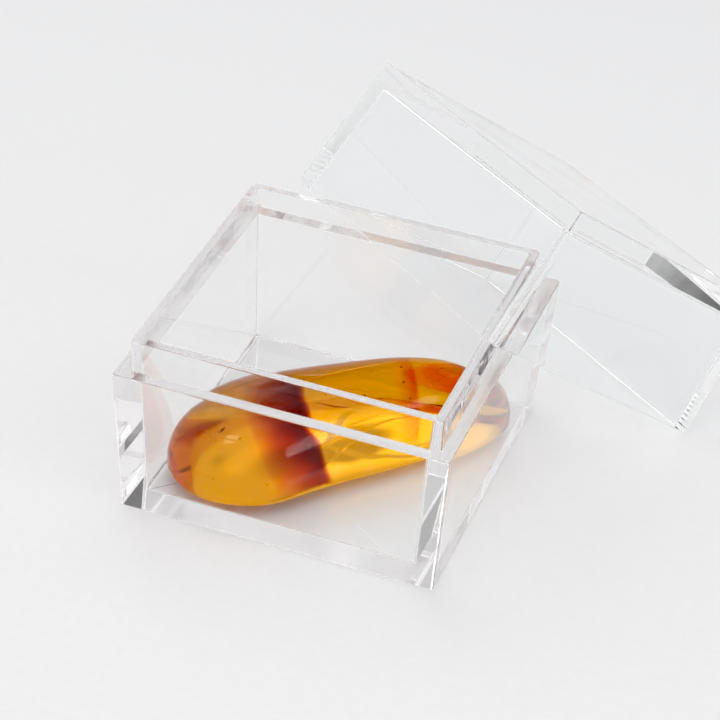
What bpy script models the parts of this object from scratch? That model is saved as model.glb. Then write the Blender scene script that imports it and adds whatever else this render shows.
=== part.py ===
"""Amber drop in a clear two-piece display box, the lid off and leaning on the base.

Units are metres, +Z is up. The origin is the centre of the base's underside, which
lies in the plane z = 0. +X runs along the front wall to the right and +Y from the
front wall to the back. The lid stands with one rim edge on z = 0 and the opposite
rim edge across the back right corner of the base.
"""

import math

import bmesh
import bpy
from mathutils import Euler, Matrix, Vector

MM = 0.001

# Base: a square tray whose outer wall ends in a ledge, with a thinner lip above it.
SIDE = 38.0 * MM  # outer width of the ledge, the widest place
LEDGE_Z = 18.0 * MM  # height of the ledge
LIP_TOP_Z = 21.8 * MM  # height of the lip's top
LEDGE_WIDTH = 1.45 * MM
LIP_WALL = 1.0 * MM
OUTER_DRAFT = 0.86 * MM  # how far each outer wall comes in from ledge to underside
INNER_DRAFT = 0.80 * MM  # the same for the cavity, from lip to floor
FLOOR = 1.95 * MM
OUTER_EDGE_R = 0.25 * MM
UPRIGHT_EDGE_R = 0.45 * MM
LIP_CORNER_R = 1.00 * MM
CAVITY_EDGE_R = 0.75 * MM

# Lid: a square cap as wide as the ledge, whose wall goes down outside the lip.
LID_DEPTH = 16.9 * MM
LID_PLATE = 2.6 * MM
LID_DRAFT = 0.76 * MM
LID_RIM_R = 0.12 * MM
LIP_CLEARANCE = 0.07 * MM
LID_WALL = LEDGE_WIDTH - LIP_CLEARANCE

# How the lid leans: the heading in plan of its downhill direction, how far out its
# upper rim edge is from the base's centre, and how far it has slid along that edge.
LEAN_HEADING = math.radians(54.2)
LEAN_OUT = 7.6 * MM
LEAN_SLIDE = -1.9 * MM
REST_GAP = 0.40 * MM

# Amber: a polished drop lying on its flattened side across the floor of the base, from
# its wide blunt end at the front left to its narrower end at the back right.
AMBER_HALF_LENGTH = 19.0 * MM
AMBER_HEADING = math.radians(40.7)
AMBER_CENTRE = Vector((0.15 * MM, -0.28 * MM, 0.0))
AMBER_BACK_WIDTH = 6.7 * MM  # from the drop's centre line to its back side
AMBER_FRONT_WIDTH = 6.85 * MM  # and to its front side
AMBER_CROWN = 8.6 * MM  # from the widest level up to the top
AMBER_UNDERSIDE = 1.05 * MM  # from the widest level down to the flattened side
AMBER_BLUNTNESS = 2.54  # 2 gives round ends, more gives blunter ones
AMBER_GAP = 0.25 * MM
AMBER_RINGS = 28
AMBER_SEGMENTS = 44


def clear_scene():
    for obj in list(bpy.data.objects):
        bpy.data.objects.remove(obj, do_unlink=True)
    for mesh in list(bpy.data.meshes):
        bpy.data.meshes.remove(mesh)


def collection(name, cutters=False):
    made = bpy.data.collections.new(name)
    bpy.context.scene.collection.children.link(made)
    made.hide_render = cutters
    return made


def material(name, colour, roughness, ior, transmission):
    made = bpy.data.materials.new(name)
    made.use_nodes = True
    shader = made.node_tree.nodes["Principled BSDF"]
    shader.inputs["Base Color"].default_value = (*colour, 1.0)
    shader.inputs["Metallic"].default_value = 0.0
    shader.inputs["Roughness"].default_value = roughness
    shader.inputs["IOR"].default_value = ior
    shader.inputs["Transmission Weight"].default_value = transmission
    made.diffuse_color = (*colour, 1.0)
    return made


def tapered_block(name, where, half_low, half_high, z_low, z_high, upright_r, low_r, high_r):
    """A square block from z_low to z_high, its upright, low and high edges rounded."""
    mesh = bpy.data.meshes.new(name)
    block = bmesh.new()
    bmesh.ops.create_cube(block, size=2.0)
    for vertex in block.verts:
        top = vertex.co.z > 0
        half = half_high if top else half_low
        vertex.co = (
            math.copysign(half, vertex.co.x),
            math.copysign(half, vertex.co.y),
            z_high if top else z_low,
        )
    upright = [e for e in block.edges if abs(e.verts[0].co.z - e.verts[1].co.z) > 1e-6]
    if upright_r:
        bmesh.ops.bevel(
            block, geom=upright, offset=upright_r, segments=3, profile=0.5, affect="EDGES"
        )
    for z, radius in ((z_low, low_r), (z_high, high_r)):
        if not radius:
            continue
        rim = [e for e in block.edges if all(abs(v.co.z - z) < 1e-7 for v in e.verts)]
        bmesh.ops.bevel(
            block, geom=rim, offset=radius, segments=3, profile=0.5, affect="EDGES"
        )
    bmesh.ops.recalc_face_normals(block, faces=block.faces)
    block.to_mesh(mesh)
    block.free()
    made = bpy.data.objects.new(name, mesh)
    where.objects.link(made)
    return made


def boolean(target, cutter, operation):
    cutter.hide_render = True
    cutter.display_type = "WIRE"
    step = target.modifiers.new(operation.lower() + "_" + cutter.name, "BOOLEAN")
    step.operation = operation
    step.object = cutter
    step.solver = "EXACT"


def shade(obj):
    obj.data.shade_smooth()
    obj.data.set_sharp_from_angle(angle=math.radians(32))


def box_base(parts, cutters, plastic):
    half = SIDE / 2
    base = tapered_block(
        "box_base", parts, half - OUTER_DRAFT, half, 0.0, LEDGE_Z,
        UPRIGHT_EDGE_R, OUTER_EDGE_R, OUTER_EDGE_R,
    )
    lip_half = half - LEDGE_WIDTH
    lip = tapered_block(
        "lip_block", cutters, lip_half, lip_half, LEDGE_Z - 4 * MM, LIP_TOP_Z,
        LIP_CORNER_R, 0.0, 0.15 * MM,
    )
    boolean(base, lip, "UNION")
    inner = lip_half - LIP_WALL
    slope = INNER_DRAFT / (LIP_TOP_Z - FLOOR)
    over = 2.0 * MM
    cavity = tapered_block(
        "cavity_block", cutters, inner - INNER_DRAFT, inner + slope * over,
        FLOOR, LIP_TOP_Z + over, LIP_CORNER_R, CAVITY_EDGE_R, 0.0,
    )
    boolean(base, cavity, "DIFFERENCE")
    base.data.materials.append(plastic)
    shade(base)
    return base


def box_lid(parts, cutters, plastic):
    """The lid with its rim at its own z = 0 and its plate above."""
    half = SIDE / 2
    lid = tapered_block(
        "box_lid", parts, half, half - LID_DRAFT, 0.0, LID_DEPTH,
        UPRIGHT_EDGE_R, LID_RIM_R, OUTER_EDGE_R,
    )
    inner = half - LID_WALL
    deep = LID_DEPTH - LID_PLATE
    slope = LID_DRAFT / LID_DEPTH
    over = 2.0 * MM
    hollow = tapered_block(
        "lid_hollow_block", cutters, inner + slope * over, inner - slope * deep,
        -over, deep, LIP_CORNER_R, 0.0, CAVITY_EDGE_R,
    )
    boolean(lid, hollow, "DIFFERENCE")
    lid.data.materials.append(plastic)
    shade(lid)

    tilt = math.asin((LIP_TOP_Z + REST_GAP) / (SIDE - LID_WALL))
    turn = Euler((-tilt, 0.0, LEAN_HEADING - math.pi / 2))
    downhill = Vector((math.cos(LEAN_HEADING), math.sin(LEAN_HEADING), 0.0))
    along = Vector((math.sin(LEAN_HEADING), -math.cos(LEAN_HEADING), 0.0))
    # The rounded rim edge touches z = 0 a little inside its corner.
    edge_height = SIDE * math.sin(tilt) - LID_RIM_R * (math.sin(tilt) + math.cos(tilt) - 1)
    upper_edge = downhill * LEAN_OUT + along * LEAN_SLIDE + Vector((0, 0, edge_height))
    to_centre = turn.to_matrix() @ Vector((0.0, half, 0.0))
    lid.rotation_euler = turn
    lid.location = upper_edge + to_centre
    hollow.parent = lid
    return lid


def drop_point(along, around):
    """A point of the drop: along runs from -1 at the wide end to 1 at the narrow end,
    and around is the angle about its length, 0 to the back and a quarter turn up."""
    taper = math.sqrt(max(0.0, 1.0 - abs(along) ** AMBER_BLUNTNESS))
    back = AMBER_BACK_WIDTH * (1.0 - 0.13 * along + 0.03 * along**2 - 0.34 * along**3)
    swell = 0.10 * math.exp(-(((along + 0.53) / 0.20) ** 2))
    front = AMBER_FRONT_WIDTH * (1.0 - 0.37 * along + 0.35 * along**2 - 0.05 * along**3 + swell)
    crown = AMBER_CROWN * (1.0 - 0.05 * along + 0.25 * along**2)
    out, up = math.cos(around), math.sin(around)
    width = taper * (back if out > 0 else front)
    if up >= 0:
        side, height = width * out, taper * crown * up
    else:
        side = width * math.copysign(math.sqrt(abs(out)), out)
        height = -math.sqrt(taper) * AMBER_UNDERSIDE * math.sqrt(-up)
    sink = 0.115 * MM * (along + 1.0)
    return AMBER_HALF_LENGTH * along, side, height - sink


def amber_drop(parts, resin):
    mesh = bpy.data.meshes.new("amber_drop")
    ball = bmesh.new()
    bmesh.ops.create_uvsphere(
        ball, u_segments=AMBER_SEGMENTS, v_segments=AMBER_RINGS, radius=1.0
    )
    # The ball's poles become the drop's two ends.
    ball.transform(Matrix.Rotation(math.pi / 2, 4, "Y"))
    for vertex in ball.verts:
        along = max(-1.0, min(1.0, vertex.co.x))
        vertex.co = drop_point(along, math.atan2(vertex.co.z, vertex.co.y))
    lowest = min(vertex.co.z for vertex in ball.verts)
    bmesh.ops.recalc_face_normals(ball, faces=ball.faces)
    ball.to_mesh(mesh)
    ball.free()
    drop = bpy.data.objects.new("amber_drop", mesh)
    parts.objects.link(drop)
    drop.rotation_euler = (0.0, 0.0, AMBER_HEADING)
    drop.location = AMBER_CENTRE + Vector((0, 0, FLOOR + AMBER_GAP - lowest))
    drop.data.materials.append(resin)
    drop.data.shade_smooth()
    return drop


def main():
    clear_scene()
    parts = collection("amber_display_box")
    cutters = collection("cutters", cutters=True)
    centre = bpy.data.objects.new("display_box_centre", None)
    parts.objects.link(centre)
    base_plastic = material("clear_plastic_base", (0.94, 0.95, 0.95), 0.03, 1.49, 1.0)
    lid_plastic = material("clear_plastic_lid", (0.94, 0.95, 0.95), 0.03, 1.49, 1.0)
    resin = material("amber", (0.87, 0.45, 0.05), 0.06, 1.54, 0.85)
    for piece in (
        box_base(parts, cutters, base_plastic),
        box_lid(parts, cutters, lid_plastic),
        amber_drop(parts, resin),
    ):
        piece.parent = centre


main()
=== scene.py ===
"""Amber drop in a clear two-piece display box: surfaces, inclusions, light and camera."""

import math

import bmesh
import bpy
from mathutils import Euler, Matrix, Vector, noise


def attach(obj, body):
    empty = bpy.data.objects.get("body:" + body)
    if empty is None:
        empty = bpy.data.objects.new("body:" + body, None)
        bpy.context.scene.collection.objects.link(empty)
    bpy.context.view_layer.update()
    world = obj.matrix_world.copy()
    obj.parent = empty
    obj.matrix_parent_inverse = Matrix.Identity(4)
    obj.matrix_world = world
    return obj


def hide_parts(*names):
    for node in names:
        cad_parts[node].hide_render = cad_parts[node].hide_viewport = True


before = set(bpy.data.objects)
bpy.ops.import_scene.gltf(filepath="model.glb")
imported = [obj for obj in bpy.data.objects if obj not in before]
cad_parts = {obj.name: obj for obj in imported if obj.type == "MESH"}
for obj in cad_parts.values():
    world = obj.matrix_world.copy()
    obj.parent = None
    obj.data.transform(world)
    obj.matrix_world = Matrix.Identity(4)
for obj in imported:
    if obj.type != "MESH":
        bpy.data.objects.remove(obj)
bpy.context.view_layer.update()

MM = 0.001

# ---------------------------------------------------------------- sizes shared with the frame
SIDE = 38.0 * MM
LEDGE_Z = 18.0 * MM
LIP_TOP_Z = 21.8 * MM
LEDGE_WIDTH = 1.45 * MM
LIP_WALL = 1.0 * MM
OUTER_DRAFT = 0.86 * MM
INNER_DRAFT = 0.80 * MM
FLOOR = 1.95 * MM
LID_DEPTH = 16.9 * MM
LID_PLATE = 2.6 * MM
LID_DRAFT = 0.76 * MM
LID_RIM_R = 0.12 * MM
LIP_CLEARANCE = 0.07 * MM
LID_WALL = LEDGE_WIDTH - LIP_CLEARANCE
LEAN_HEADING = math.radians(54.2)
LEAN_OUT = 7.6 * MM
LEAN_SLIDE = -1.9 * MM
REST_GAP = 0.40 * MM

AMBER_HALF_LENGTH = 19.0 * MM
AMBER_HEADING = math.radians(40.7)
AMBER_CENTRE = Vector((0.15 * MM, -0.28 * MM, 0.0))
AMBER_BACK_WIDTH = 6.7 * MM
AMBER_FRONT_WIDTH = 6.85 * MM
AMBER_CROWN = 8.6 * MM
AMBER_UNDERSIDE = 1.05 * MM
AMBER_BLUNTNESS = 2.54
AMBER_GAP = 0.06 * MM

SCENE = bpy.context.scene
looks = bpy.data.collections.new("looks")
SCENE.collection.children.link(looks)
helpers = bpy.data.collections.new("helpers")
SCENE.collection.children.link(helpers)


# ---------------------------------------------------------------- node helpers
class Nodes:
    """A thin wrapper that adds nodes and links to one material."""

    def __init__(self, name):
        self.material = bpy.data.materials.new(name)
        self.material.use_nodes = True
        self.tree = self.material.node_tree
        self.tree.nodes.clear()
        self.out = self.tree.nodes.new("ShaderNodeOutputMaterial")

    def add(self, kind, **values):
        node = self.tree.nodes.new(kind)
        for key, value in values.items():
            if hasattr(node, key) and key not in ("inputs", "outputs"):
                setattr(node, key, value)
        return node

    def link(self, a, b):
        self.tree.links.new(a, b)

    def noise(self, scale, detail=4.0, roughness=0.5, distortion=0.0, stretch=None):
        """Noise over the object's own coordinates, in metres; scale is in waves a millimetre."""
        place = self.add("ShaderNodeTexCoord")
        source = place.outputs["Object"]
        if stretch:
            mapping = self.add("ShaderNodeMapping")
            mapping.inputs["Scale"].default_value = stretch
            self.link(source, mapping.inputs["Vector"])
            source = mapping.outputs["Vector"]
        tex = self.add("ShaderNodeTexNoise")
        tex.inputs["Scale"].default_value = scale * 1000.0
        tex.inputs["Detail"].default_value = detail
        tex.inputs["Roughness"].default_value = roughness
        tex.inputs["Distortion"].default_value = distortion
        self.link(source, tex.inputs["Vector"])
        return tex.outputs["Fac"]

    def span(self, source, low_in, high_in, low, high):
        node = self.add("ShaderNodeMapRange")
        node.inputs["From Min"].default_value = low_in
        node.inputs["From Max"].default_value = high_in
        node.inputs["To Min"].default_value = low
        node.inputs["To Max"].default_value = high
        self.link(source, node.inputs["Value"])
        return node.outputs["Result"]

    def bump(self, height, strength, distance, before=None):
        node = self.add("ShaderNodeBump")
        node.inputs["Strength"].default_value = strength
        node.inputs["Distance"].default_value = distance
        self.link(height, node.inputs["Height"])
        if before is not None:
            self.link(before, node.inputs["Normal"])
        return node.outputs["Normal"]


def clear_plastic(name, absorption, density, scuffed=False, worn_edge=None):
    """Polished clear plastic: faint waviness from the mould and a few finger smears. The
    underside is dulled by fine scuffs, most of all near the front wall, where scuffed is
    set. worn_edge is a point and a direction of one upright edge that is rubbed dull."""
    m = Nodes(name)
    p = m.add("ShaderNodeBsdfPrincipled")
    p.inputs["Base Color"].default_value = (0.985, 0.99, 0.99, 1.0)
    p.inputs["IOR"].default_value = 1.49
    p.inputs["Transmission Weight"].default_value = 1.0
    p.inputs["Specular Tint"].default_value = (0.75, 0.75, 0.75, 1.0)
    smear = m.noise(0.22, detail=3.0, distortion=0.6)
    rough = m.span(smear, 0.52, 0.78, 0.0, 0.035)
    if scuffed:
        place = m.add("ShaderNodeTexCoord")
        split = m.add("ShaderNodeSeparateXYZ")
        m.link(place.outputs["Object"], split.inputs["Vector"])
        under = m.span(split.outputs["Z"], 0.02 * MM, 0.12 * MM, 1.0, 0.0)
        fine = m.span(m.noise(0.5, detail=3.0), 0.35, 0.65, 0.0, 0.05)
        front = m.span(split.outputs["Y"], -10.4 * MM, -9.0 * MM, 0.17, 0.0)
        worn = m.add("ShaderNodeMath", operation="MAXIMUM")
        m.link(fine, worn.inputs[0])
        m.link(front, worn.inputs[1])
        scuffs = worn.outputs["Value"]
        out = m.add("ShaderNodeMath", operation="ABSOLUTE")
        m.link(split.outputs["X"], out.inputs[0])
        middle = m.span(out.outputs["Value"], 14.6 * MM, 15.8 * MM, 1.0, 0.0)
        dull = m.add("ShaderNodeMath", operation="MULTIPLY")
        m.link(under, dull.inputs[0])
        m.link(scuffs, dull.inputs[1])
        inner = m.add("ShaderNodeMath", operation="MULTIPLY")
        m.link(dull.outputs["Value"], inner.inputs[0])
        m.link(middle, inner.inputs[1])
        dull = inner
        both = m.add("ShaderNodeMath", operation="MAXIMUM")
        m.link(rough, both.inputs[0])
        m.link(dull.outputs["Value"], both.inputs[1])
        rough = both.outputs["Value"]
    if worn_edge:
        place = m.add("ShaderNodeTexCoord")
        away = m.add("ShaderNodeVectorMath", operation="SUBTRACT")
        m.link(place.outputs["Object"], away.inputs[0])
        away.inputs[1].default_value = worn_edge[0]
        across = m.add("ShaderNodeVectorMath", operation="CROSS_PRODUCT")
        m.link(away.outputs["Vector"], across.inputs[0])
        across.inputs[1].default_value = worn_edge[1]
        far = m.add("ShaderNodeVectorMath", operation="LENGTH")
        m.link(across.outputs["Vector"], far.inputs[0])
        rubbed = m.span(far.outputs["Value"], 1.0 * MM, 2.8 * MM, 0.16, 0.0)
        both = m.add("ShaderNodeMath", operation="MAXIMUM")
        m.link(rough, both.inputs[0])
        m.link(rubbed, both.inputs[1])
        rough = both.outputs["Value"]
    m.link(rough, p.inputs["Roughness"])
    wave = m.noise(0.10, detail=2.0)
    fine = m.noise(1.6, detail=3.0, stretch=(1.0, 1.0, 0.25))
    normal = m.bump(wave, 0.30, 0.03 * MM)
    normal = m.bump(fine, 0.10, 0.004 * MM, before=normal)
    m.link(normal, p.inputs["Normal"])
    m.link(p.outputs["BSDF"], m.out.inputs["Surface"])
    absorb = m.add("ShaderNodeVolumeAbsorption")
    absorb.inputs["Color"].default_value = (*absorption, 1.0)
    absorb.inputs["Density"].default_value = density
    m.link(absorb.outputs["Volume"], m.out.inputs["Volume"])
    return m.material


def amber_resin():
    m = Nodes("amber_resin")
    p = m.add("ShaderNodeBsdfPrincipled")
    p.inputs["Base Color"].default_value = (0.96, 0.58, 0.14, 1.0)
    p.inputs["IOR"].default_value = 1.54
    p.inputs["Transmission Weight"].default_value = 1.0
    p.inputs["Specular Tint"].default_value = (0.6, 0.6, 0.6, 1.0)
    haze = m.noise(0.35, detail=4.0, distortion=0.4)
    polish = m.span(haze, 0.45, 0.75, 0.0, 0.05)
    # The flattened side that it lies on is only ground, not polished.
    place = m.add("ShaderNodeTexCoord")
    split = m.add("ShaderNodeSeparateXYZ")
    m.link(place.outputs["Object"], split.inputs["Vector"])
    low = m.span(split.outputs["Z"], FLOOR + 0.12 * MM, FLOOR + 0.60 * MM, 1.0, 0.0)
    along = m.add("ShaderNodeVectorMath", operation="DOT_PRODUCT")
    along.inputs[1].default_value = (math.cos(AMBER_HEADING), math.sin(AMBER_HEADING), 0.0)
    m.link(place.outputs["Object"], along.inputs[0])
    coarse = m.span(along.outputs["Value"], -7.0 * MM, -3.0 * MM, 0.19, 0.03)
    share = m.add("ShaderNodeMath", operation="MULTIPLY")
    m.link(low, share.inputs[0])
    m.link(coarse, share.inputs[1])
    ground = share.outputs["Value"]
    both = m.add("ShaderNodeMath", operation="MAXIMUM")
    m.link(polish, both.inputs[0])
    m.link(ground, both.inputs[1])
    m.link(both.outputs["Value"], p.inputs["Roughness"])
    swell = m.noise(0.16, detail=2.0)
    scratches = m.noise(2.4, detail=3.0, stretch=(1.0, 0.12, 0.6))
    normal = m.bump(swell, 0.20, 0.12 * MM)
    normal = m.bump(scratches, 0.03, 0.004 * MM, before=normal)
    m.link(normal, p.inputs["Normal"])
    m.link(p.outputs["BSDF"], m.out.inputs["Surface"])
    absorb = m.add("ShaderNodeVolumeAbsorption")
    absorb.inputs["Color"].default_value = (0.952, 0.855, 0.03, 1.0)
    absorb.inputs["Density"].default_value = 208.0
    m.link(absorb.outputs["Volume"], m.out.inputs["Volume"])
    return m.material


def floor_paper():
    m = Nodes("pale_floor")
    p = m.add("ShaderNodeBsdfPrincipled")
    grain = m.noise(0.9, detail=5.0)
    ramp = m.add("ShaderNodeValToRGB")
    ramp.color_ramp.elements[0].position = 0.35
    ramp.color_ramp.elements[0].color = (0.792, 0.792, 0.796, 1)
    ramp.color_ramp.elements[1].position = 0.65
    ramp.color_ramp.elements[1].color = (0.806, 0.806, 0.810, 1)
    m.link(grain, ramp.inputs["Fac"])
    # Painted shade: the paper's colour darkens behind the box, standing in for light that falls off towards the back.
    place = m.add("ShaderNodeTexCoord")
    split = m.add("ShaderNodeSeparateXYZ")
    m.link(place.outputs["Object"], split.inputs["Vector"])
    far = m.span(split.outputs["Y"], -0.05, 0.12, 0.0, 1.0)
    shade = m.add("ShaderNodeMix", data_type="RGBA")
    m.link(far, shade.inputs["Factor"])
    m.link(ramp.outputs["Color"], shade.inputs["A"])
    shade.inputs["B"].default_value = (0.738, 0.740, 0.745, 1)
    m.link(shade.outputs["Result"], p.inputs["Base Color"])
    p.inputs["Roughness"].default_value = 0.9
    m.link(p.outputs["BSDF"], m.out.inputs["Surface"])
    return m.material


# ---------------------------------------------------------------- mesh helpers
def new_object(name, mesh, where=None):
    made = bpy.data.objects.new(name, mesh)
    (where or looks).objects.link(made)
    return made


def tapered_block(name, half_low, half_high, z_low, z_high, upright_r, low_r, high_r, segments=6):
    mesh = bpy.data.meshes.new(name)
    block = bmesh.new()
    bmesh.ops.create_cube(block, size=2.0)
    for vertex in block.verts:
        top = vertex.co.z > 0
        half = half_high if top else half_low
        vertex.co = (
            math.copysign(half, vertex.co.x),
            math.copysign(half, vertex.co.y),
            z_high if top else z_low,
        )
    upright = [e for e in block.edges if abs(e.verts[0].co.z - e.verts[1].co.z) > 1e-6]
    if upright_r:
        bmesh.ops.bevel(
            block, geom=upright, offset=upright_r, segments=segments, profile=0.5, affect="EDGES"
        )
    for z, radius in ((z_low, low_r), (z_high, high_r)):
        if not radius:
            continue
        rim = [e for e in block.edges if all(abs(v.co.z - z) < 1e-7 for v in e.verts)]
        bmesh.ops.bevel(
            block, geom=rim, offset=radius, segments=segments, profile=0.5, affect="EDGES"
        )
    bmesh.ops.recalc_face_normals(block, faces=block.faces)
    block.to_mesh(mesh)
    block.free()
    return new_object(name, mesh, helpers)


def boolean(target, cutter, operation):
    step = target.modifiers.new(operation.lower(), "BOOLEAN")
    step.operation = operation
    step.object = cutter
    step.solver = "EXACT"


def settle(obj, name, drop_objects=()):
    """The object's evaluated mesh as a new plain object, in place."""
    bpy.context.view_layer.update()
    graph = bpy.context.evaluated_depsgraph_get()
    mesh = bpy.data.meshes.new_from_object(obj.evaluated_get(graph))
    mesh.name = name
    made = new_object(name, mesh)
    made.matrix_world = obj.matrix_world
    for old in (obj, *drop_objects):
        bpy.data.objects.remove(old, do_unlink=True)
    return made


def weighted(obj, name):
    """Flat faces stay flat and rounded edges are shaded smooth."""
    obj.data.shade_smooth()
    obj.data.set_sharp_from_angle(angle=math.radians(40))
    step = obj.modifiers.new("weighted", "WEIGHTED_NORMAL")
    step.mode = "FACE_AREA"
    step.weight = 100
    step.keep_sharp = True
    return settle(obj, name)


# ---------------------------------------------------------------- the box
def visual_base(plastic):
    half = SIDE / 2
    body = tapered_block(
        "body", half - OUTER_DRAFT, half, 0.0, LEDGE_Z, 0.30 * MM, 0.16 * MM, 0.14 * MM
    )
    lip_half = half - LEDGE_WIDTH
    lip = tapered_block(
        "lip", lip_half, lip_half, LEDGE_Z - 4 * MM, LIP_TOP_Z, 0.55 * MM, 0.0, 0.10 * MM
    )
    inner = lip_half - LIP_WALL
    slope = INNER_DRAFT / (LIP_TOP_Z - FLOOR)
    over = 2.0 * MM
    cavity = tapered_block(
        "cavity", inner - INNER_DRAFT, inner + slope * over,
        FLOOR, LIP_TOP_Z + over, 0.35 * MM, 0.40 * MM, 0.0,
    )
    boolean(body, lip, "UNION")
    boolean(body, cavity, "DIFFERENCE")
    base = weighted(settle(body, "base_blank", (lip, cavity)), "clear_box_base")
    base.data.materials.clear()
    base.data.materials.append(plastic)
    return base


def lid_place():
    """Where the lid leans, for a lid modelled with its rim at z = 0 and its plate above."""
    tilt = math.asin((LIP_TOP_Z + REST_GAP) / (SIDE - LID_WALL))
    turn = Euler((-tilt, 0.0, LEAN_HEADING - math.pi / 2)).to_matrix()
    downhill = Vector((math.cos(LEAN_HEADING), math.sin(LEAN_HEADING), 0.0))
    along = Vector((math.sin(LEAN_HEADING), -math.cos(LEAN_HEADING), 0.0))
    edge_height = SIDE * math.sin(tilt) - LID_RIM_R * (math.sin(tilt) + math.cos(tilt) - 1)
    upper_edge = downhill * LEAN_OUT + along * LEAN_SLIDE + Vector((0, 0, edge_height))
    centre = upper_edge + turn @ Vector((0.0, SIDE / 2, 0.0))
    return Matrix.Translation(centre) @ turn.to_4x4()


def visual_lid(plastic):
    half = SIDE / 2
    cap = tapered_block(
        "cap", half, half - LID_DRAFT, 0.0, LID_DEPTH, 0.30 * MM, LID_RIM_R, 0.16 * MM
    )
    inner = half - LID_WALL
    deep = LID_DEPTH - LID_PLATE
    slope = LID_DRAFT / LID_DEPTH
    over = 2.0 * MM
    hollow = tapered_block(
        "hollow", inner + slope * over, inner - slope * deep, -over, deep, 0.50 * MM, 0.0, 0.40 * MM
    )
    boolean(cap, hollow, "DIFFERENCE")
    lid = weighted(settle(cap, "lid_blank", (hollow,)), "clear_box_lid")
    lid.data.materials.clear()
    lid.data.materials.append(plastic)
    lid.data.transform(lid_place())
    lid.data.update()
    return lid


# ---------------------------------------------------------------- the amber
def drop_point(along, around):
    """A point of the drop's surface in its own frame, as the frame's solid has it."""
    taper = math.sqrt(max(0.0, 1.0 - abs(along) ** AMBER_BLUNTNESS))
    back = AMBER_BACK_WIDTH * (1.0 - 0.13 * along + 0.03 * along**2 - 0.34 * along**3)
    swell = 0.10 * math.exp(-(((along + 0.53) / 0.20) ** 2))
    front = AMBER_FRONT_WIDTH * (1.0 - 0.37 * along + 0.35 * along**2 - 0.05 * along**3 + swell)
    crown = AMBER_CROWN * (1.0 - 0.05 * along + 0.25 * along**2)
    out, up = math.cos(around), math.sin(around)
    width = taper * (back if out > 0 else front)
    if up >= 0:
        side, height = width * out, taper * crown * up
    else:
        side = width * math.copysign(math.sqrt(abs(out)), out)
        height = -math.sqrt(taper) * AMBER_UNDERSIDE * math.sqrt(-up)
    sink = 0.115 * MM * (along + 1.0)
    return Vector((AMBER_HALF_LENGTH * along, side, height - sink))


def drop_mesh(name, rings, segments, wobble=0.0):
    mesh = bpy.data.meshes.new(name)
    ball = bmesh.new()
    bmesh.ops.create_uvsphere(ball, u_segments=segments, v_segments=rings, radius=1.0)
    ball.transform(Matrix.Rotation(math.pi / 2, 4, "Y"))
    for vertex in ball.verts:
        along = max(-1.0, min(1.0, vertex.co.x))
        vertex.co = drop_point(along, math.atan2(vertex.co.z, vertex.co.y))
    lowest = min(vertex.co.z for vertex in ball.verts)
    bmesh.ops.recalc_face_normals(ball, faces=ball.faces)
    if ball.calc_volume(signed=True) < 0:
        bmesh.ops.reverse_faces(ball, faces=ball.faces)
    if wobble:
        ball.normal_update()
        moves = []
        for vertex in ball.verts:
            broad = noise.noise(vertex.co * 120.0)
            small = noise.noise(vertex.co * 420.0 + Vector((7, 3, 1)))
            flat = min(1.0, max(0.0, (vertex.co.z - lowest) / (2.0 * MM)))
            moves.append(wobble * (broad + 0.12 * small) * flat)
        for vertex, move in zip(ball.verts, moves):
            vertex.co += vertex.normal * move
    ball.to_mesh(mesh)
    ball.free()
    return mesh, lowest


def visual_amber(resin):
    mesh, lowest = drop_mesh("amber_piece", 120, 180, wobble=0.11 * MM)
    amber = new_object("amber_piece", mesh)
    place = Matrix.Translation(AMBER_CENTRE + Vector((0, 0, FLOOR + AMBER_GAP - lowest)))
    place = place @ Matrix.Rotation(AMBER_HEADING, 4, "Z")
    mesh.transform(place)
    mesh.materials.append(resin)
    mesh.shade_smooth()
    return amber, place


def under_skin(x, around_degrees, depth):
    """A point depth millimetres under the drop's skin at x millimetres along its length."""
    along = max(-0.999, min(0.999, x * MM / AMBER_HALF_LENGTH))
    skin = drop_point(along, math.radians(around_degrees))
    core = Vector((skin.x, 0.0, 1.5 * MM))
    return skin + (core - skin).normalized() * depth * MM


def face_out(shape):
    """Turns each closed part of a shape to face out, at a larger scale, because very small
    faces would be misjudged."""
    shape.transform(Matrix.Scale(1000.0, 4))
    bmesh.ops.recalc_face_normals(shape, faces=shape.faces)
    shape.transform(Matrix.Scale(0.001, 4))


def grid_object(name, rows, material):
    """A closed tube from rows of points, each row a closed loop, its two ends filled."""
    shape = bmesh.new()
    made = [[shape.verts.new(point) for point in row] for row in rows]
    for one, two in zip(made, made[1:]):
        for i in range(len(one)):
            j = (i + 1) % len(one)
            shape.faces.new((one[i], one[j], two[j], two[i]))
    for end in (made[0], made[-1]):
        middle = shape.verts.new(sum((v.co for v in end), Vector()) / len(end))
        for i in range(len(end)):
            shape.faces.new((end[i], end[(i + 1) % len(end)], middle))
    face_out(shape)
    if shape.calc_volume(signed=True) < 0:
        bmesh.ops.reverse_faces(shape, faces=shape.faces)
    mesh = bpy.data.meshes.new(name)
    shape.to_mesh(mesh)
    shape.free()
    mesh.transform(amber_place)
    mesh.materials.append(material)
    mesh.shade_smooth()
    return new_object(name, mesh)


def cloud_colour(name, colour, density):
    """A tinted cloud in the resin: a surface that doesn't bend light, and absorption."""
    m = Nodes(name)
    skin = m.add("ShaderNodeBsdfTransparent")
    m.link(skin.outputs["BSDF"], m.out.inputs["Surface"])
    absorb = m.add("ShaderNodeVolumeAbsorption")
    absorb.inputs["Color"].default_value = (*colour, 1.0)
    absorb.inputs["Density"].default_value = density
    m.link(absorb.outputs["Volume"], m.out.inputs["Volume"])
    return m.material


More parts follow.
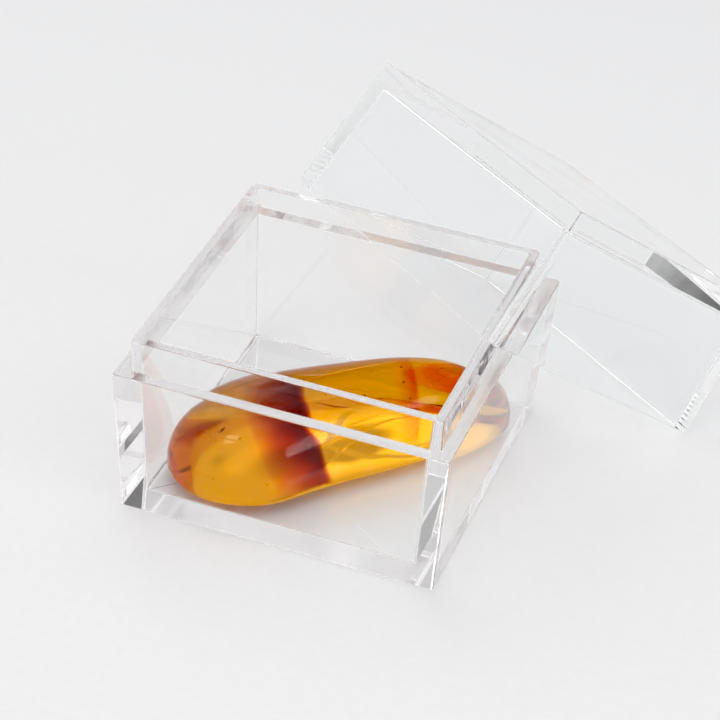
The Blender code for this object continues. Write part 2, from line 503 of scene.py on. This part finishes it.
def fold(name, left, right, thickness, first, last, material, stations=40, ragged=0.25):
    """A wedge-shaped cloud across the drop. left and right give where it begins and ends
    along the drop for a share t of the way round, thickness how deep its right side goes."""
    rows = []
    for k in range(stations + 1):
        t = k / stations
        around = first + (last - first) * t
        lean = math.radians(30 + 36 * max(0.0, min(1.0, (around - 90) / 92)))
        down = Vector((0.17, math.sin(lean), -math.cos(lean))).normalized() * MM
        a, b = left(t), right(t)
        swell = math.sin(math.pi * min(1.0, max(0.0, t * 1.04 - 0.02))) ** 0.45
        top, back = [], []
        for i in range(29):
            u = i / 28
            spot = under_skin(a + (b - a) * u, around, 0.32 + 0.25 * (1 - swell))
            wave = noise.noise(Vector((a + (b - a) * u, around * 0.11, 3.1)) * 0.55)
            rise = (u / 0.86) ** 1.25 if u < 0.86 else (1.0 - u) / 0.14
            deep = rise * thickness(t) * swell * (1.0 + ragged * wave)
            top.append(spot)
            back.append(spot + down * (0.06 + deep))
        rows.append(top + back[::-1])
    return grid_object(name, rows, material)


def strand(name, points, radius, material, flat=0.5):
    """A thin strand through points given as (x, around, depth)."""
    line = [under_skin(*point) for point in points]
    rows = []
    count = len(line)
    for i, spot in enumerate(line):
        ahead = (line[min(i + 1, count - 1)] - line[max(i - 1, 0)]).normalized()
        out = (spot - Vector((spot.x, 0.0, 1.5 * MM))).normalized()
        aside = ahead.cross(out).normalized()
        thin = radius * MM * max(0.12, math.sin(math.pi * (i + 0.3) / (count - 0.4)) ** 0.6)
        rows.append([
            spot + aside * thin * math.cos(a) + out * thin * flat * math.sin(a)
            for a in (2 * math.pi * j / 10 for j in range(10))
        ])
    return grid_object(name, rows, material)


def speck(name, where, size, material, seed=0.0, stretch=(1.0, 0.7, 0.6), turn=0.0):
    """A small uneven grain, size in millimetres, at (x, around, depth)."""
    middle = under_skin(*where)
    ball = bmesh.new()
    bmesh.ops.create_icosphere(ball, subdivisions=3, radius=size * MM / 2)
    spin = Matrix.Rotation(turn, 3, "Z")
    for vertex in ball.verts:
        rough = 1.0 + 0.45 * noise.noise(vertex.co / (size * MM) * 2.6 + Vector((seed, 1.7, 4.2)))
        vertex.co = spin @ Vector(c * k * rough for c, k in zip(vertex.co, stretch))
    ball.transform(Matrix.Translation(middle))
    mesh = bpy.data.meshes.new(name)
    ball.to_mesh(mesh)
    ball.free()
    mesh.transform(amber_place)
    mesh.materials.append(material)
    mesh.shade_smooth()
    return new_object(name, mesh)


def gnat(name, where, length, heading, body_stuff, wing_stuff):
    """A tiny two-winged fly: head, humped thorax, slim abdomen, six bent legs, two wings.
    length is in millimetres, heading turns it in the drop's own plane."""
    middle = under_skin(*where)
    turn = Matrix.Translation(middle) @ Matrix.Rotation(heading, 4, "Z")
    turn = turn @ Matrix.Rotation(math.radians(-38), 4, "X")
    unit = length * MM

    def blob(shape, centre, radii):
        made = bmesh.ops.create_icosphere(shape, subdivisions=3, radius=1.0)["verts"]
        for vertex in made:
            co = vertex.co
            ripple = 1.0 + 0.05 * noise.noise(co * 3.0 + Vector(centre) * 9)
            vertex.co = turn @ Vector(
                (c + r * v * ripple) * unit for c, r, v in zip(centre, radii, co)
            )

    def limb(shape, joints, radius):
        rings = []
        points = [Vector(j) for j in joints]
        for i, point in enumerate(points):
            ahead = (points[min(i + 1, len(points) - 1)] - points[max(i - 1, 0)]).normalized()
            one = ahead.orthogonal().normalized()
            two = ahead.cross(one)
            thin = radius * (1.0 - 0.55 * i / (len(points) - 1))
            rings.append([
                shape.verts.new(turn @ ((point + (one * math.cos(a) + two * math.sin(a)) * thin) * unit))
                for a in (2 * math.pi * k / 6 for k in range(6))
            ])
        for low, high in zip(rings, rings[1:]):
            for k in range(6):
                j = (k + 1) % 6
                shape.faces.new((low[k], low[j], high[j], high[k]))
        shape.faces.new(rings[0][::-1])
        shape.faces.new(rings[-1])

    body = bmesh.new()
    blob(body, (0.30, 0.0, 0.02), (0.085, 0.10, 0.085))
    blob(body, (0.12, 0.0, 0.05), (0.15, 0.12, 0.13))
    for i in range(5):
        u = i / 4
        blob(body, (-0.04 - 0.34 * u, 0.0, 0.03 - 0.05 * u), (0.075, 0.095 * (1 - 0.5 * u), 0.085 * (1 - 0.5 * u)))
    for side in (1, -1):
        limb(body, [(0.37, 0.03 * side, 0.03), (0.47, 0.09 * side, 0.06), (0.56, 0.10 * side, 0.04)], 0.014)
        for root, knee, foot in ((0.20, 0.34, 0.46), (0.11, 0.12, 0.18), (0.02, -0.16, -0.34)):
            limb(body, [
                (root, 0.06 * side, -0.04), (knee, 0.24 * side, 0.03), (knee + (foot - knee) * 0.5, 0.34 * side, -0.10),
                (foot, 0.42 * side, -0.14),
            ], 0.018)
    face_out(body)
    fly = bpy.data.meshes.new(name)
    body.to_mesh(fly)
    body.free()
    fly.transform(amber_place)
    fly.materials.append(body_stuff)
    fly.shade_smooth()
    films = bmesh.new()
    for side in (1, -1):
        rim_high, rim_low = [], []
        for k in range(28):
            a = 2 * math.pi * k / 28
            reach = 0.27 * math.cos(a)
            broad = 0.10 * math.sin(a) * (1.0 + 0.35 * math.cos(a))
            spot = Vector((0.02 - 0.22 - reach, side * (0.15 + 0.12 * (0.22 + reach) / 0.5 + broad), 0.15))
            rim_high.append(films.verts.new(turn @ (spot * unit + Vector((0, 0, 0.006 * MM)))))
            rim_low.append(films.verts.new(turn @ (spot * unit - Vector((0, 0, 0.006 * MM)))))
        films.faces.new(rim_high)
        films.faces.new(rim_low[::-1])
        for k in range(28):
            j = (k + 1) % 28
            films.faces.new((rim_high[k], rim_high[j], rim_low[j], rim_low[k]))
    face_out(films)
    sheet = bpy.data.meshes.new(name + "_wings")
    films.to_mesh(sheet)
    films.free()
    sheet.transform(amber_place)
    sheet.materials.append(wing_stuff)
    return [new_object(name, fly), new_object(name + "_wings", sheet)]


def grain(name, dark, light, scale, roughness, alpha=None):
    """A matt stuff with fine mottling, partly see-through where alpha is given."""
    m = Nodes(name)
    p = m.add("ShaderNodeBsdfPrincipled")
    ramp = m.add("ShaderNodeValToRGB")
    ramp.color_ramp.elements[0].position = 0.32
    ramp.color_ramp.elements[0].color = (*dark, 1)
    ramp.color_ramp.elements[1].position = 0.68
    ramp.color_ramp.elements[1].color = (*light, 1)
    mottle = m.noise(scale, detail=5.0)
    m.link(mottle, ramp.inputs["Fac"])
    m.link(ramp.outputs["Color"], p.inputs["Base Color"])
    p.inputs["Roughness"].default_value = roughness
    if alpha:
        m.link(m.span(m.noise(scale * 0.5, detail=3.0), 0.35, 0.65, *alpha), p.inputs["Alpha"])
    m.link(m.bump(mottle, 0.4, 0.02 * MM), p.inputs["Normal"])
    m.link(p.outputs["BSDF"], m.out.inputs["Surface"])
    return m.material


plastic_base = clear_plastic("clear_plastic_base", (0.70, 0.60, 0.62), 5.0, scuffed=True)
low_corner = lid_place() @ Vector((SIDE / 2, SIDE / 2, 0.0))
low_edge = lid_place().to_3x3() @ Vector((0.0, 0.0, 1.0))
plastic_lid = clear_plastic(
    "clear_plastic_lid", (0.80, 0.80, 0.78), 3.0, worn_edge=(low_corner, low_edge)
)
resin = amber_resin()

base = visual_base(plastic_base)
lid = visual_lid(plastic_lid)
amber, amber_place = visual_amber(resin)

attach(base, "root")
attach(lid, "root")
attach(amber, "root")
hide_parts("box_base")
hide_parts("box_lid")
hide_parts("amber_drop")

# ---------------------------------------------------------------- inside the amber
dark_cloud = cloud_colour("dark_fold", (0.74, 0.36, 0.02), 5600.0)
warm_cloud = cloud_colour("warm_fold", (0.95, 0.55, 0.05), 900.0)
side_cloud = cloud_colour("side_fold", (0.93, 0.45, 0.05), 1400.0)
soot = grain("dark_grain", (0.085, 0.032, 0.010), (0.20, 0.08, 0.02), 6.0, 0.55)
rust = grain("brown_grain", (0.16, 0.055, 0.015), (0.32, 0.13, 0.03), 6.0, 0.55)
wing = grain("wing_film", (0.45, 0.26, 0.10), (0.62, 0.40, 0.18), 9.0, 0.4, alpha=(0.25, 0.45))
honey = grain("pale_honey", (1.0, 0.78, 0.36), (1.0, 0.88, 0.50), 5.0, 0.45)
# Painted highlight colour: matt bright gold, used for the glints in the resin.
glint_paint = grain("painted_glint", (0.95, 0.66, 0.08), (1.0, 0.80, 0.20), 5.0, 0.40)
inside = [
    fold(
        "amber_dark_fold",
        lambda t: -10.5 - 4.2 * t + 6.2 * t * t,
        lambda t: -5.0 + 0.5 * t + 2.4 * t * t - 0.5 * math.exp(-((t - 0.45) / 0.14) ** 2)
        + 0.40 * noise.noise(Vector((t * 11.0, 0.3, 5.5))),
        lambda t: 1.30 + 0.28 * t,
        78.0, 186.0, dark_cloud,
    ),
    fold(
        "amber_warm_fold",
        lambda t: -12.4 - 1.0 * t + 2.8 * t * t,
        lambda t: -5.1 + 0.5 * t + 2.3 * t * t,
        lambda t: 2.9 - 1.2 * t * t,
        78.0, 187.0, warm_cloud,
    ),
    fold(
        "amber_side_fold",
        lambda t: 6.6 - 1.4 * t,
        lambda t: 9.1 - 1.2 * t,
        lambda t: 1.5 - 0.5 * t,
        70.0, 178.0, side_cloud,
    ),
    # Two thin pale strands just under the crown's skin make its bright curved lines.
    strand(
        "amber_pale_line_1",
        [(-4.8 + 12.0 * i / 40, 94.5 - 10.0 * math.sin(0.5 * math.pi * i / 40), 0.16) for i in range(41)],
        0.17, honey,
    ),
    strand(
        "amber_pale_line_2",
        [(-0.6 + 4.6 * i / 30, 108.0 + 14.0 * (i / 30) ** 1.5, 0.18) for i in range(31)],
        0.12, honey,
    ),
]
for number, (spot, size) in enumerate((
    ((-12.5, 126.0, 0.5), 0.26), ((-16.6, 115.0, 0.5), 0.22), ((-15.8, 159.0, 0.5), 0.20),
    ((2.0, 119.0, 0.5), 0.30), ((7.4, 92.0, 0.6), 0.34), ((12.2, 97.0, 0.5), 0.34),
    ((7.0, 147.0, 0.6), 0.22), ((7.1, 168.0, 0.5), 0.22), ((7.1, 109.0, 1.2), 0.36),
    ((7.4, 128.0, 1.2), 0.32), ((-2.0, 99.0, 3.4), 0.22), ((4.4, 70.0, 2.6), 0.20),
)):
    inside.append(speck(
        "amber_speck_%d" % (number + 1), spot, size * 0.85, rust, seed=number * 3.7, turn=number * 1.3
    ))
# Painted glints: small matt specks of bright gold colour under the skin, standing in for points where the resin catches
# the light.
for number, (spot, size) in enumerate((
    ((10.1, 119.0, 0.5), 0.22), ((-3.5, 181.0, 0.4), 0.20), ((-10.4, 167.0, 0.6), 0.24),
    ((6.8, 145.0, 0.5), 0.26),
)):
    inside.append(speck(
        "amber_glint_%d" % (number + 1), spot, size, glint_paint, seed=number * 5.1, turn=number * 0.9
    ))
# A painted glint drawn as a short bright streak of matt gold.
inside.append(strand(
    "amber_glint_streak",
    [(-15.75 + 0.65 * i / 12, 110.6 + 12.5 * i / 12, 0.35) for i in range(13)], 0.085, glint_paint,
))
inside += gnat("amber_gnat", (-14.0, 114.5, 0.45), 1.05, 0.6, soot, wing)
for piece in inside:
    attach(piece, "root")

# ---------------------------------------------------------------- floor, light, camera
floor_mesh = bpy.data.meshes.new("pale_floor")
sheet = bmesh.new()
bmesh.ops.create_grid(sheet, x_segments=24, y_segments=24, size=2.5)
sheet.to_mesh(floor_mesh)
sheet.free()
floor = new_object("pale_floor", floor_mesh)
floor.location = (0, 0, -0.00002)
floor_mesh.materials.append(floor_paper())

world = bpy.data.worlds.new("studio")
SCENE.world = world
world.use_nodes = True
tree = world.node_tree
tree.nodes.clear()
w_out = tree.nodes.new("ShaderNodeOutputWorld")
w_back = tree.nodes.new("ShaderNodeBackground")
w_place = tree.nodes.new("ShaderNodeTexCoord")
w_split = tree.nodes.new("ShaderNodeSeparateXYZ")
w_ramp = tree.nodes.new("ShaderNodeValToRGB")
w_ramp.color_ramp.elements[0].position = 0.0
w_ramp.color_ramp.elements[0].color = (0.90, 0.90, 0.91, 1)
w_ramp.color_ramp.elements[1].position = 1.0
w_ramp.color_ramp.elements[1].color = (0.96, 0.96, 0.965, 1)
tree.links.new(w_place.outputs["Generated"], w_split.inputs["Vector"])
tree.links.new(w_split.outputs["Z"], w_ramp.inputs["Fac"])


def glow(direction, inner, outer, strength, before):
    """Adds a soft round patch of light to the studio's walls, angles in degrees."""
    towards = tree.nodes.new("ShaderNodeVectorMath")
    towards.operation = "DOT_PRODUCT"
    towards.inputs[1].default_value = Vector(direction).normalized()
    tree.links.new(w_place.outputs["Generated"], towards.inputs[0])
    edge = tree.nodes.new("ShaderNodeMapRange")
    edge.interpolation_type = "SMOOTHSTEP"
    edge.inputs["From Min"].default_value = math.cos(math.radians(outer))
    edge.inputs["From Max"].default_value = math.cos(math.radians(inner))
    edge.inputs["To Min"].default_value = 0.0
    edge.inputs["To Max"].default_value = 1.0
    tree.links.new(towards.outputs["Value"], edge.inputs["Value"])
    add = tree.nodes.new("ShaderNodeMix")
    add.data_type = "RGBA"
    tree.links.new(edge.outputs["Result"], add.inputs["Factor"])
    tree.links.new(before, add.inputs["A"])
    add.inputs["B"].default_value = (strength, strength, strength, 1)
    return add.outputs["Result"]


def heading(azimuth, elevation):
    a, e = math.radians(azimuth), math.radians(elevation)
    return (math.cos(a) * math.cos(e), math.sin(a) * math.cos(e), math.sin(e))


sky = w_ramp.outputs["Color"]
sky = glow(heading(130, 50), 12, 31, 1.9, sky)
sky = glow((0.0, 0.0, 1.0), 10, 34, 1.18, sky)
sky = glow(heading(87, 40), 3, 8, 1.55, sky)
sky = glow(heading(107, 42), 8, 11, 0.68, sky)
sky = glow(heading(99, 40.5), 2, 4, 0.50, sky)
sky = glow(heading(70.8, 41.2), 1.8, 3.8, 0.24, sky)
sky = glow(heading(-165.5, 33.5), 4.2, 7, 0.14, sky)
# Two small lamps, one to each side of the camera.
sky = glow(heading(-9, 22), 3.5, 9, 4.6, sky)
sky = glow(heading(-113, 60), 3, 8, 4.6, sky)
tree.links.new(sky, w_back.inputs["Color"])
w_back.inputs["Strength"].default_value = 1.0
tree.links.new(w_back.outputs["Background"], w_out.inputs["Surface"])


azimuth, elevation, roll = (math.radians(a) for a in (17.98, 35.33, 3.83))
target = Vector((0.014, 0.155, 0.25)) * SIDE
distance = 8.17 * SIDE
toward = Vector((
    math.sin(azimuth) * math.cos(elevation),
    -math.cos(azimuth) * math.cos(elevation),
    math.sin(elevation),
))
camera_data = bpy.data.cameras.new("camera")
camera_data.lens = 137.15
camera_data.sensor_width = 36.0
camera_data.clip_start = 0.01
camera_data.clip_end = 20.0
camera = bpy.data.objects.new("camera", camera_data)
SCENE.collection.objects.link(camera)
forward = -toward
right = forward.cross(Vector((0, 0, 1))).normalized()
up = right.cross(forward)
right_r = right * math.cos(roll) + up * math.sin(roll)
up_r = up * math.cos(roll) - right * math.sin(roll)
basis = Matrix((right_r, up_r, -forward)).transposed()
camera.matrix_world = Matrix.Translation(target + toward * distance) @ basis.to_4x4()
SCENE.camera = camera

SCENE.view_settings.view_transform = "Standard"
SCENE.view_settings.look = "None"
# A raised black point, as in the high-key picture.
SCENE.view_settings.use_curve_mapping = True
SCENE.view_settings.curve_mapping.black_level = (0.075, 0.075, 0.075)
SCENE.view_settings.curve_mapping.update()
SCENE.cycles.use_denoising = True
SCENE.cycles.max_bounces = 48
SCENE.cycles.transmission_bounces = 48
SCENE.cycles.glossy_bounces = 48
SCENE.cycles.transparent_max_bounces = 16
SCENE.cycles.sample_clamp_indirect = 6.0
SCENE.cycles.blur_glossy = 0.0

bpy.data.collections.remove(helpers)
